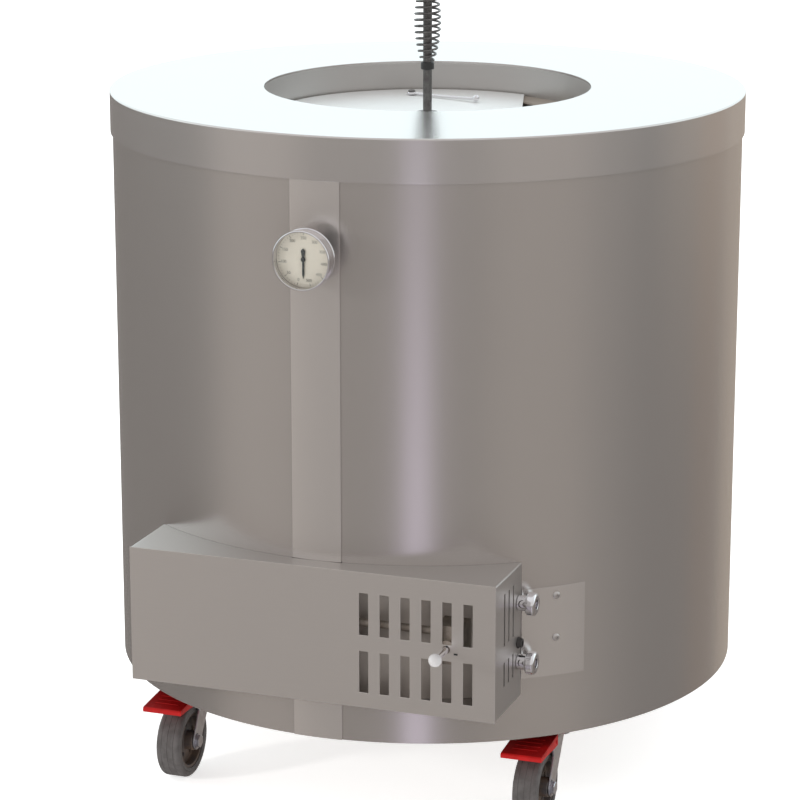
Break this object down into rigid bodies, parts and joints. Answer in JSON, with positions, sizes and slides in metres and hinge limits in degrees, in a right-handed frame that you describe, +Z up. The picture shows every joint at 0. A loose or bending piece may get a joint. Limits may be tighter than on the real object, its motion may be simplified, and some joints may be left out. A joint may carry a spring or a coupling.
{
  "type": "round gas clay oven on castors",
  "caption": "Round steel-clad clay oven with a lift-out lid and coiled grip, dial thermometer, slotted side burner box and braked swivel castors.",
  "frame": {"origin": "centre of the footprint box on the floor", "axes": "+Z up; -Y towards the burner box and thermometer; +X to the right seen from the front"},
  "size_m": [0.8499, 0.9254, 1.062],
  "materials": {
    "drum_steel": "brushed stainless sheet, fine vertical grain",
    "satin_steel": "satin stainless sheet",
    "pale_steel": "bright satin stainless plate",
    "clay": "unglazed fired clay",
    "insulation": "loose mineral insulation",
    "firebrick": "refractory slab",
    "inner_steel": "heat-dulled steel",
    "burner_iron": "cast iron, matte",
    "white_ceramic": "glazed ceramic rod",
    "brass": "turned brass",
    "dark_steel": "darkened steel",
    "black_plastic": "matte black",
    "black_rubber": "soft black rubber",
    "chrome": "polished chrome",
    "white_knob": "glossy white plastic",
    "dial": "satin cream print face",
    "glass": "clear flat glass",
    "zinc": "bright zinc plate",
    "wheel_centre": "dark moulded centre",
    "grey_tyre": "grey rubber tread",
    "red_pedal": "glossy red"
  },
  "bodies": {
    "oven": {"base_plate": "satin_steel", "outer_shell": "drum_steel", "seam_strap": "satin_steel", "top_cap": "pale_steel", "mouth_collar": "satin_steel", "clay_pot": "clay", "insulation": "insulation", "hearth_slab": "firebrick", "burner_tunnel": "inner_steel", "burner_pipe": "burner_iron", "burner_ring": "burner_iron", "flame_deflector": "burner_iron", "flame_probe": "white_ceramic", "injector_tube": "brass", "gas_tube": "brass", "gas_valve": "brass", "gas_inlet": "brass", "box_body": "satin_steel", "box_front": "satin_steel", "side_plate": "satin_steel", "plate_screws": "dark_steel", "side_grommet": "black_rubber", "thermo_case": "chrome", "thermo_bezel": "chrome", "thermo_dial": "dial", "thermo_glass": "glass", "thermo_stem": "chrome", "castor_plates": "zinc", "castor_bolts": "zinc"},
    "lid": {"lid_plate": "pale_steel", "lid_rod": "dark_steel", "grip_coil": "dark_steel", "grip_collar": "black_plastic", "lid_fasteners": "dark_steel"},
    "vent_hook": {"lid_hook": "dark_steel"},
    "needle": {"thermo_pointer": "black_plastic"},
    "gas_knob": {"knob_stem": "chrome", "knob_ball": "white_knob"},
    "box_knob_lower": {"box_knob_lower": "chrome"},
    "box_knob_upper": {"box_knob_upper": "chrome"},
    "castor_fl": {"fork_fl": "zinc", "axle_fl": "zinc"},
    "wheel_fl": {"hub_fl": "wheel_centre", "tyre_fl": "grey_tyre"},
    "brake_fl": {"pedal_fl": "red_pedal"},
    "castor_fr": {"fork_fr": "zinc", "axle_fr": "zinc"},
    "wheel_fr": {"hub_fr": "wheel_centre", "tyre_fr": "grey_tyre"},
    "brake_fr": {"pedal_fr": "red_pedal"},
    "castor_rl": {"fork_rl": "zinc", "axle_rl": "zinc"},
    "wheel_rl": {"hub_rl": "wheel_centre", "tyre_rl": "grey_tyre"},
    "brake_rl": {"pedal_rl": "red_pedal"},
    "castor_rr": {"fork_rr": "zinc", "axle_rr": "zinc"},
    "wheel_rr": {"hub_rr": "wheel_centre", "tyre_rr": "grey_tyre"},
    "brake_rr": {"pedal_rr": "red_pedal"}
  },
  "joints": [
    {"name": "lid_lift", "type": "slide", "parent": "oven", "child": "lid", "axis": [0, 0, 1], "range_m": [0, 0.35]},
    {"name": "vent_hook_turn", "type": "hinge", "parent": "lid", "child": "vent_hook", "pos_m": [-0.073, 0.18175, 0.8756], "axis": [0, 0, 1], "range_deg": [-60, 30]},
    {"name": "needle_turn", "type": "hinge", "parent": "oven", "child": "needle", "pos_m": [0, -0.42225, 0.765], "axis": [0, 1, 0], "range_deg": [0, 345]},
    {"name": "gas_knob_turn", "type": "hinge", "parent": "oven", "child": "gas_knob", "pos_m": [0.182, -0.42225, 0.282], "axis": [0, -1, 0], "range_deg": [0, 90]},
    {"name": "box_knob_lower_turn", "type": "hinge", "parent": "oven", "child": "box_knob_lower", "pos_m": [0.246, -0.31825, 0.243], "axis": [1, 0, 0], "range_deg": [0, 90]},
    {"name": "box_knob_upper_turn", "type": "hinge", "parent": "oven", "child": "box_knob_upper", "pos_m": [0.246, -0.31825, 0.321], "axis": [1, 0, 0], "range_deg": [0, 90]},
    {"name": "swivel_fl", "type": "hinge", "parent": "oven", "child": "castor_fl", "pos_m": [-0.25, -0.21225, 0.12], "axis": [0, 0, 1], "continuous": true},
    {"name": "roll_fl", "type": "hinge", "parent": "castor_fl", "child": "wheel_fl", "pos_m": [-0.25, -0.25025, 0.05], "axis": [1, 0, 0], "continuous": true},
    {"name": "brake_press_fl", "type": "hinge", "parent": "castor_fl", "child": "brake_fl", "pos_m": [-0.25, -0.24625, 0.112], "axis": [1, 0, 0], "range_deg": [0, 10]},
    {"name": "swivel_fr", "type": "hinge", "parent": "oven", "child": "castor_fr", "pos_m": [0.25, -0.21225, 0.12], "axis": [0, 0, 1], "continuous": true},
    {"name": "roll_fr", "type": "hinge", "parent": "castor_fr", "child": "wheel_fr", "pos_m": [0.25, -0.25025, 0.05], "axis": [1, 0, 0], "continuous": true},
    {"name": "brake_press_fr", "type": "hinge", "parent": "castor_fr", "child": "brake_fr", "pos_m": [0.25, -0.24625, 0.112], "axis": [1, 0, 0], "range_deg": [0, 10]},
    {"name": "swivel_rl", "type": "hinge", "parent": "oven", "child": "castor_rl", "pos_m": [-0.25, 0.28775, 0.12], "axis": [0, 0, 1], "continuous": true},
    {"name": "roll_rl", "type": "hinge", "parent": "castor_rl", "child": "wheel_rl", "pos_m": [-0.25, 0.24975, 0.05], "axis": [1, 0, 0], "continuous": true},
    {"name": "brake_press_rl", "type": "hinge", "parent": "castor_rl", "child": "brake_rl", "pos_m": [-0.25, 0.25375, 0.112], "axis": [1, 0, 0], "range_deg": [0, 10]},
    {"name": "swivel_rr", "type": "hinge", "parent": "oven", "child": "castor_rr", "pos_m": [0.25, 0.28775, 0.12], "axis": [0, 0, 1], "continuous": true},
    {"name": "roll_rr", "type": "hinge", "parent": "castor_rr", "child": "wheel_rr", "pos_m": [0.25, 0.24975, 0.05], "axis": [1, 0, 0], "continuous": true},
    {"name": "brake_press_rr", "type": "hinge", "parent": "castor_rr", "child": "brake_rr", "pos_m": [0.25, 0.25375, 0.112], "axis": [1, 0, 0], "range_deg": [0, 10]}
  ]
}
